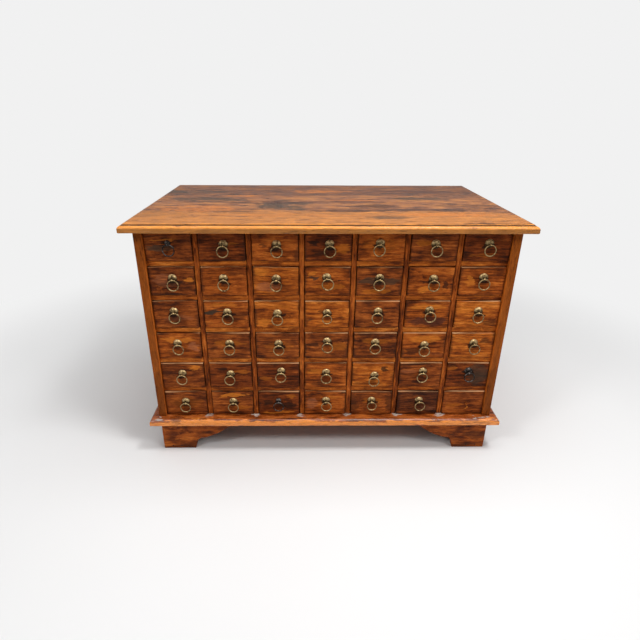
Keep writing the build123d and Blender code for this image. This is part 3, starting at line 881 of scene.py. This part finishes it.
class CABINET_OT_base(bpy.types.Operator):
    """Makes the base board, the bracket feet, their blocks and their nails"""

    bl_idname = "cabinet.base"
    bl_label = "Base and feet"

    def execute(self, context):
        settings = context.scene.cabinet_woodwork
        self.add_base(settings)
        self.add_front_feet(settings)
        self.add_side_feet(settings)
        self.add_nails()
        return {"FINISHED"}

    def add_base(self, settings):
        base = merged_copy("base_board", "base_plank")
        for axis, count in enumerate(BASE_SLICES):
            slice_across(base, axis, count)
        dress(base, settings, wearing=1.6)
        nose_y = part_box("base_board")[0].y
        marks = [
            # painted highlight: a paler band along the rounded nose, where the lamps catch it
            ((0, nose_y, BASE_TOP - 0.013), (1.5, 0.03, 0.0125), HONEY, 0.9),
            ((-0.44, nose_y, BASE_TOP), (0.02, 0.03, 0.02), UMBER, 0.5),
        ]
        for left in divider_edges():
            foot = (left + divider_thickness() / 2, DIVIDER_LOW.y - 0.004, BASE_TOP)
            marks.append((foot, DUST_RADII, DUST, 0.85))
        for x, length in DUST_SMEARS:
            spot = (x, DIVIDER_LOW.y - 0.022, BASE_TOP)
            marks.append((spot, (length, 0.006, 0.005), DUST, 0.7, (0, 0, 0.3)))
        look = wood_look("varnished_base", "orange", seed=11, log=(0.05, -0.05), ring_gap=0.010, marks=marks,
                         gloss=(0.20, 0.34), specular=0.6)
        hand_over(base, CARCASS, "carcass_wood", look, "base_board")

    def add_front_feet(self, settings):
        front = merged_copy("front_brackets", "front_feet")
        slice_across(front, 2, FOOT_SLICES)
        dress(front, settings)
        low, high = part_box("front_brackets")
        foot_x = high.x - 0.05
        marks = [((side * foot_x, low.y, -0.05), (0.10, 0.03, 0.016), UMBER, 0.5) for side in (-1, 1)]
        marks.append(((high.x - 0.03, low.y, -0.005), (0.035, 0.03, 0.022), UMBER, 0.55))
        marks.append(((-foot_x, low.y, 0.035), (0.06, 0.03, 0.012), UMBER, 0.4))
        look = wood_look("varnished_feet", "orange", seed=17, middle=FOOT_MIDDLE, log=(0.03, -0.03),
                         marks=marks, specular=0.08)
        hand_over(front, CARCASS, "carcass_wood", look, "front_brackets")

    def add_side_feet(self, settings):
        sides = merged_copy("side_brackets", "side_feet")
        dress(sides, settings, wearing=0)
        look = wood_look("varnished_side_feet", "brown", "y", seed=23, middle=FOOT_MIDDLE, specular=0.08)
        hand_over(sides, CARCASS, "carcass_wood", look, "side_brackets")
        blocks = merged_copy("corner_blocks", "foot_blocks")
        dress(blocks, settings, rounding=1.5, wearing=0)
        look = wood_look("foot_block_wood", "umber", "z", seed=29, gloss=(0.6, 0.8), specular=0.2)
        hand_over(blocks, CARCASS, "carcass_wood", look, "corner_blocks")

    def add_nails(self):
        nails = merged_copy("foot_nails", "foot_nail_heads")
        ease_edges(nails, NAIL_ROUND)
        wear(nails, *NAIL_WEAR)
        smooth(nails)
        look = metal_look("dark_iron", (0.05, 0.04, 0.035), (0.012, 0.009, 0.008), 0.62, (0.5, 0.75),
                          metallic=0.7)
        hand_over(nails, CARCASS, "dark_iron", look, "foot_nails")


# ---- the carcass ---------------------------------------------------------------------------------
SIDES = (("left_side", 31, "orange"), ("right_side", 37, "golden"))
SIDE_PLANK = 0.197
BACK_PLANKS = 5
BACK_SLICES = 10
SIDE_CUTS = 14
DIVIDER_CUTS = 6
SHELF_CUTS = 4
GRID_MIDDLE = (0, 0, 0.4)


class CABINET_OT_carcass(bpy.types.Operator):
    """Makes the sides, the dividers, the shelves and the back"""

    bl_idname = "cabinet.carcass"
    bl_label = "Carcass"

    def execute(self, context):
        settings = context.scene.cabinet_woodwork
        for node, seed, colours in SIDES:
            self.add_side(settings, node, seed, colours)
        self.add_dividers(settings)
        self.add_shelves(settings)
        self.add_back(settings)
        return {"FINISHED"}

    def add_side(self, settings, node, seed, colours):
        low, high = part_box(node)
        side = board(f"{node}_board", low, high, SIDE_CUTS)
        dress(side, settings, rounding=1.3)
        middle = (low + high) / 2
        front = low.y - middle.y
        marks = [
            ((0, front, 0.02), (0.03, 0.03, 0.45), RUST, 0.6),
            ((0, front, -0.20), (0.03, 0.02, 0.10), UMBER, 0.25),
            ((0, 0.05, -0.10), (0.05, 0.09, 0.22), UMBER, 0.5),
            ((0, -0.12, 0.15), (0.05, 0.07, 0.16), AMBER, 0.5),
        ]
        look = wood_look(f"varnished_{node}", colours, "z", middle=middle, seed=seed, marks=marks,
                         joints=(1, SIDE_PLANK, low.y), log=(0.05, 0.03), ring_gap=0.011)
        hand_over(side, CARCASS, "carcass_wood", look, node)

    def add_dividers(self, settings):
        uprights = []
        for left in divider_edges():
            low = (left, DIVIDER_LOW.y, DIVIDER_LOW.z)
            high = (left + divider_thickness(), DIVIDER_HIGH.y, DIVIDER_HIGH.z)
            uprights.append(board("upright", low, high, DIVIDER_CUTS))
        dividers = joined("upright_boards", uprights)
        dress(dividers, settings, wearing=1.4, wear_size=0.02)
        look = wood_look("varnished_dividers", "orange", "z", seed=41, middle=GRID_MIDDLE, ring_gap=0.009,
                         joints=(0, divider_pitch(), DIVIDER_LOW.x - 0.06))
        hand_over(dividers, CARCASS, "carcass_wood", look, "column_dividers")

    def add_shelves(self, settings):
        low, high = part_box("drawer_shelves")
        shelves = []
        for row in range(1, ROWS):
            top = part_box(drawer_name(row, COLUMNS))[0].z
            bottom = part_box(drawer_name(row + 1, COLUMNS))[1].z + self.top_gap()
            for column in range(COLUMNS):
                left = low.x + column * divider_pitch()
                right = left + divider_pitch() - divider_thickness()
                shelves.append(board("shelf", (left, low.y, bottom), (right, high.y, top), SHELF_CUTS))
        rails = joined("shelf_boards", shelves)
        dress(rails, settings, wearing=1.2, wear_size=0.025)
        look = wood_look("varnished_shelves", "golden", "x", seed=43, middle=GRID_MIDDLE, ring_gap=0.009,
                         joints=(2, divider_pitch() * 0.7, 0.05))
        hand_over(rails, CARCASS, "carcass_wood", look, "drawer_shelves")

    def top_gap(self):
        """Space between a drawer front and the board above it."""
        shelf_heights = sorted({round(v.co.z, 5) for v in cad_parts["drawer_shelves"].data.vertices})
        return shelf_heights[-2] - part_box(drawer_name(2, COLUMNS))[1].z

    def add_back(self, settings):
        back = merged_copy("back_boards", "back_planks")
        slice_across(back, 2, BACK_SLICES)
        dress(back, settings)
        low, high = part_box("back_boards")
        look = wood_look("back_board_wood", "brown", "z", seed=47, middle=GRID_MIDDLE, gloss=(0.55, 0.75),
                         joints=(0, (high.x - low.x) / BACK_PLANKS, low.x), specular=0.2)
        hand_over(back, CARCASS, "carcass_wood", look, "back_boards")


# ---- the drawers -------------------------------------------------------------------------------
MM = 0.001
MARK_DEPTH = 0.5
FRONT_CUTS = 9
FRONT_WEAR_SIZE = 0.022
BOX_CUTS = 3
BOX_ROUND = 0.0008
RIM_HALF_WIDTH = 0.0605
# Shadow painted on a front round its pull, round the ring and under the cap: how far below the ring's axis,
# radii, colour and strength.
PULL_SHADOWS = (
    (0.006, (0.016, MARK_DEPTH, 0.018), UMBER, 0.42),
    (0.004, (0.0155, MARK_DEPTH, 0.009), SOOT_AND_SHADE, 0.85),
)


class CABINET_OT_drawers(bpy.types.Operator):
    """Makes the forty-two drawers, each front from its own piece of wood"""

    bl_idname = "cabinet.drawers"
    bl_label = "Drawers"

    def execute(self, context):
        settings = context.scene.cabinet_woodwork
        low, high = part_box(drawer_name(*BARE_DRAWER))
        half_width = (high.x - low.x) / 2
        height = high.z - low.z
        depth = high.y - low.y
        front = board("front_pattern", (-half_width, 0, 0), (half_width, FRONT_THICKNESS, height), FRONT_CUTS)
        ease_edges(front, settings.front_round, 3)
        box = self.add_box(half_width, height, depth)
        inside_look = wood_look("drawer_box_wood", "inside", "y", seed=53, gloss=(0.6, 0.8), specular=0.2,
                                middle=GRID_MIDDLE, ring_gap=0.006)
        for row, column in all_drawers():
            name = drawer_name(row, column)
            low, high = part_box(name)
            corner = Vector(((low.x + high.x) / 2, FACE_Y, low.z))
            self.add_front(front, row, column, corner, height, settings)
            body = copy_of(box, f"box_r{row}_c{column}")
            body.location = corner
            fix_place(body)
            hand_over(body, name, "drawer_wood", inside_look)
        bpy.data.objects.remove(front)
        bpy.data.objects.remove(box)
        return {"FINISHED"}

    def add_box(self, half_width, height, depth):
        """The sides, the bottom and the back behind a front."""
        inner = half_width - BOX_BOARD
        side_top = height - BOX_SIDE_DROP
        floor_top = BOX_BOTTOM_LIFT + BOX_BOTTOM
        boards = [
            board("side", (-half_width, FRONT_THICKNESS, 0), (-inner, depth, side_top), BOX_CUTS),
            board("side", (inner, FRONT_THICKNESS, 0), (half_width, depth, side_top), BOX_CUTS),
            board("bottom", (-inner, FRONT_THICKNESS, BOX_BOTTOM_LIFT), (inner, depth, floor_top), BOX_CUTS),
            board("back", (-inner, depth - BOX_BOARD, floor_top), (inner, depth, side_top), BOX_CUTS),
        ]
        box = joined("box_pattern", boards)
        ease_edges(box, BOX_ROUND)
        smooth(box)
        return box

    def add_front(self, pattern, row, column, corner, height, settings):
        front = copy_of(pattern, f"front_r{row}_c{column}")
        front.location = corner
        fix_place(front)
        wear(front, settings.wear_depth, FRONT_WEAR_SIZE)
        if (row, column) == BARE_DRAWER:
            self.cut_pin_hole(front)
        smooth(front)
        colours, spots = DRAWER_WOODS[(row, column)]
        middle = corner + Vector((0, 0, height / 2))
        marks = [
            ((x * MM, 0, z * MM), (length * MM, MARK_DEPTH, tall * MM), paint, strength,
             (0, -math.radians(tilt), 0))
            for x, z, length, tall, tilt, paint, strength in spots
        ]
        if (row, column) != BARE_DRAWER:
            pull = ring_axis(row, column) - middle
            # painted shadow round the ring and under the cap
            marks += [((pull.x, 0, pull.z - below), *painted_shade) for below, *painted_shade in PULL_SHADOWS]
        # each front is cut from another place in its log
        number = (row - 1) * COLUMNS + column
        heart = (0.015 + 0.011 * (number * 5 % 7), 0.07 * math.sin(number * 2.4))
        slant = (0.05 * math.sin(number * 1.7), 0.06 * math.cos(number * 2.9))
        name = drawer_name(row, column)
        look = wood_look(
            f"drawer_wood_r{row}_c{column}", colours, middle=middle, seed=60 + number * 3, marks=marks,
            log=heart, tilt=slant, ring_gap=0.006 + 0.0012 * (number % 4), rim=(RIM_HALF_WIDTH, height / 2))
        hand_over(front, name, "drawer_wood", look, name)

    def cut_pin_hole(self, front):
        """The square hole that the lost pull has left."""
        name = drawer_name(*BARE_DRAWER)
        low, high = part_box(name)
        rim = [
            vertex.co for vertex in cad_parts[name].data.vertices
            if vertex.co.y < FACE_Y + 0.1 * MM and low.x + MM < vertex.co.x < high.x - MM
        ]
        lowest = (min(spot.x for spot in rim), FACE_Y - 10 * MM, min(spot.z for spot in rim))
        highest = (max(spot.x for spot in rim), FACE_Y + 20 * MM, max(spot.z for spot in rim))
        cutter = board("cutter", lowest, highest)
        use_modifier(front, "BOOLEAN", object=cutter, operation="DIFFERENCE", solver="EXACT")
        bpy.data.objects.remove(cutter)


# ---- the pulls -----------------------------------------------------------------------------------
# The rosette's outline: radius and height as shares of its radius, from the wood outwards.
ROSETTE_STEPS = ((1.0, 0.0), (1.0, 0.05), (0.97, 0.09), (0.91, 0.10), (0.87, 0.13), (0.84, 0.20),
                 (0.76, 0.27), (0.64, 0.33), (0.48, 0.365), (0.30, 0.38), (0.12, 0.385))
CAP_ABOVE_RING_AXIS = 0.0034
EYE_MIDDLE_RADIUS = 0.0026
EYE_WIRE_RADIUS = 0.0011
EYE_FLATTEN = 2.1
NECK_HALF = (0.0019, 0.0011)  # half its width and height
NECK_STOP = 0.0016            # from the front, inside the cap
NECK_RISE = 0.0022
NECK_ROUND = 0.0007
PIN_HALF = 0.00175            # half the width of the square shank
PIN_ROUND = 0.0004
LEG_REACH = 0.0107
LEG_THICKNESS = 0.0016
SHANK_START = 0.006
SHANK_END = 0.001             # inside the legs
RING_TOP_WEAR = 0.14          # share of the wire's radius that has worn away in the eye
RING_WEAR_SPREAD = 0.35       # radians
RING_LUMPS = 0.03             # unevenness of the wire, as a share of its radius
RING_OVAL = 0.008             # how far the ring is from round, as a share of its radius
RING_BRIGHTNESS = 1.05        # of the rings' brass, beside that of the rosettes
DARK_METAL = ((0.17, 0.145, 0.13), (0.03, 0.025, 0.022))


class CABINET_OT_pulls(bpy.types.Operator):
    """Makes the rosettes, the split pins and the rings"""

    bl_idname = "cabinet.pulls"
    bl_label = "Ring pulls"

    def execute(self, context):
        settings = context.scene.cabinet_pulls
        brass, tarnish = tuple(settings.brass), tuple(settings.tarnish)
        ring_brass = tuple(RING_BRIGHTNESS * part for part in brass)
        looks = {
            "fitting": metal_look("aged_brass", brass, tarnish, 0.55, (0.30, 0.48), shade=0.95),
            "ring": metal_look("ring_brass", ring_brass, tarnish, 0.56, (0.32, 0.5), seed=2.0, shade=0.5),
            "dark": metal_look("dark_steel", *DARK_METAL, 0.66, (0.35, 0.55), seed=5.0),
        }
        rosette = self.rosette(settings.rosette_radius)
        pin = self.split_pin()
        ring = self.ring(settings)
        for row, column in all_drawers():
            if (row, column) == BARE_DRAWER:
                continue
            axis = ring_axis(row, column)
            dark = (row, column) in DARK_PULLS
            self.add_fitting(rosette, pin, row, column, axis, looks["dark" if dark else "fitting"])
            self.add_ring(ring, row, column, axis, looks["dark" if dark else "ring"])
        for pattern in (rosette, pin, ring):
            bpy.data.objects.remove(pattern)
        return {"FINISHED"}

    def rosette(self, radius):
        """A domed cap with a stepped rim, its back at the origin."""
        bpy.ops.object.select_all(action="DESELECT")
        bpy.ops.mesh.primitive_circle_add(vertices=32, radius=radius, rotation=(math.pi / 2, 0, 0))
        dome = bpy.context.active_object
        fix_place(dome)
        bpy.ops.object.mode_set(mode="EDIT")
        bpy.ops.mesh.select_all(action="SELECT")
        for before, after in zip(ROSETTE_STEPS, ROSETTE_STEPS[1:]):
            forward = (before[1] - after[1]) * radius
            bpy.ops.mesh.extrude_edges_move(TRANSFORM_OT_translate={"value": (0, forward, 0)})
            share = after[0] / before[0]
            bpy.ops.transform.resize(value=(share, 1, share), center_override=(0, 0, 0))
        bpy.ops.mesh.merge(type="CENTER")
        bpy.ops.mesh.select_all(action="SELECT")
        bpy.ops.mesh.normals_make_consistent(inside=False)
        bpy.ops.object.mode_set(mode="OBJECT")
        smooth(dome, 50)
        return dome

    def split_pin(self):
        """The eye with its neck and its two bent legs. The ring's axis is the origin."""
        bpy.ops.object.select_all(action="DESELECT")
        bpy.ops.mesh.primitive_torus_add(
            major_radius=EYE_MIDDLE_RADIUS, minor_radius=EYE_WIRE_RADIUS,
            major_segments=24, minor_segments=10, rotation=(0, math.pi / 2, 0))
        eye = fix_place(bpy.context.active_object)
        eye.scale = (EYE_FLATTEN, 1, 1)
        fix_place(eye)
        reach = RING_STANDOFF - NECK_STOP
        wide, tall = NECK_HALF
        neck = board("neck", (-wide, EYE_MIDDLE_RADIUS, -tall), (wide, reach, tall), 2)
        ease_edges(neck, NECK_ROUND)
        for vertex in neck.data.vertices:
            vertex.co.z += NECK_RISE * (vertex.co.y - EYE_MIDDLE_RADIUS) / (reach - EYE_MIDDLE_RADIUS)
        behind = RING_STANDOFF + FRONT_THICKNESS
        legs = self.pin_board("legs", behind, behind + LEG_THICKNESS, LEG_REACH, 2)
        shank = self.pin_board("shank", SHANK_START, behind + SHANK_END, PIN_HALF, 1)
        pin = joined("pin_pattern", [eye, neck, legs, shank])
        smooth(pin, 50)
        return pin

    def pin_board(self, name, front, back, half_height, cuts):
        low = (-PIN_HALF, front, PIN_ABOVE_RING_AXIS - half_height)
        high = (PIN_HALF, back, PIN_ABOVE_RING_AXIS + half_height)
        piece = board(name, low, high, cuts)
        ease_edges(piece, PIN_ROUND)
        return piece

    def ring(self, settings):
        """A hanging ring, a little thinner at its top where it has worn in the eye."""
        bpy.ops.object.select_all(action="DESELECT")
        bpy.ops.mesh.primitive_torus_add(
            major_radius=settings.ring_radius, minor_radius=settings.wire_radius,
            major_segments=56, minor_segments=12, rotation=(math.pi / 2, 0, 0))
        ring = fix_place(bpy.context.active_object)
        for vertex in ring.data.vertices:
            turn = math.atan2(vertex.co.x, vertex.co.z)
            flat = math.hypot(vertex.co.x, vertex.co.z)
            thin = 1.0 - RING_TOP_WEAR * math.exp(-(turn / RING_WEAR_SPREAD) ** 2)
            thin += RING_LUMPS * math.sin(3 * turn)
            wide = settings.ring_radius * (1 + RING_OVAL * math.cos(2 * turn + 0.6))
            radius = wide + (flat - settings.ring_radius) * thin
            vertex.co.x, vertex.co.z = radius * math.sin(turn), radius * math.cos(turn)
            vertex.co.y *= thin
        ring.location.z = -settings.ring_radius
        fix_place(ring)
        smooth(ring, 60)
        return ring

    def add_fitting(self, rosette, pin, row, column, axis, look):
        cap = copy_of(rosette, "cap")
        size = SMALL_ROSETTES.get((row, column), 1.0)
        cap.scale = (size, 1, size)
        cap.location = (axis.x, FACE_Y, axis.z + CAP_ABOVE_RING_AXIS)
        fix_place(cap)
        stem = copy_of(pin, "stem")
        stem.location = axis
        stem.rotation_euler.y = math.radians(RING_SWINGS[row - 1][column - 1] * 0.5)
        fix_place(stem)
        fitting = joined(f"pull_r{row}_c{column}", [cap, stem])
        hand_over(fitting, drawer_name(row, column), "aged_brass", look)

    def add_ring(self, pattern, row, column, axis, look):
        ring = copy_of(pattern, f"hoop_r{row}_c{column}")
        size = RING_SIZES.get((row, column), 1.0)
        ring.scale = (size, 1, size)
        fix_place(ring)
        ring.rotation_euler.y = -math.radians(RING_SWINGS[row - 1][column - 1])
        ring.location = axis
        fix_place(ring)
        if row == LOOSE_RING_ROW:
            node = f"ring_r{row}_c{column}"
            hand_over(ring, node, "aged_brass", look, node)
        else:
            hand_over(ring, drawer_name(row, column), "aged_brass", look)


# ---- add-on -------------------------------------------------------------------------------------
OPERATORS = (
    CABINET_OT_stage,
    CABINET_OT_top,
    CABINET_OT_carcass,
    CABINET_OT_base,
    CABINET_OT_drawers,
    CABINET_OT_pulls,
)


class CABINET_PT_panel(bpy.types.Panel):
    """Lists the cabinet's pieces and settings"""

    bl_idname = "CABINET_PT_panel"
    bl_label = "Seed storage cabinet"
    bl_space_type = "VIEW_3D"
    bl_region_type = "UI"
    bl_category = "Cabinet"

    def draw(self, context):
        for operator in OPERATORS:
            self.layout.operator(operator.bl_idname)
        for name in SETTINGS:
            group = getattr(context.scene, name)
            for key in group.__annotations__:
                self.layout.prop(group, key)


SETTINGS = {
    "cabinet_woodwork": CabinetWoodwork,
    "cabinet_pulls": CabinetPulls,
    "cabinet_stage": CabinetStage,
}


def register():
    for group in SETTINGS.values():
        bpy.utils.register_class(group)
    for made in (*OPERATORS, CABINET_PT_panel):
        bpy.utils.register_class(made)
    for name, group in SETTINGS.items():
        setattr(bpy.types.Scene, name, bpy.props.PointerProperty(type=group))


def unregister():
    for name in SETTINGS:
        delattr(bpy.types.Scene, name)
    for made in (CABINET_PT_panel, *OPERATORS, *SETTINGS.values()):
        bpy.utils.unregister_class(made)


def main():
    register()
    bpy.ops.cabinet.stage()
    bpy.ops.cabinet.top()
    bpy.ops.cabinet.carcass()
    bpy.ops.cabinet.base()
    bpy.ops.cabinet.drawers()
    bpy.ops.cabinet.pulls()


if __name__ == "__main__":
    main()
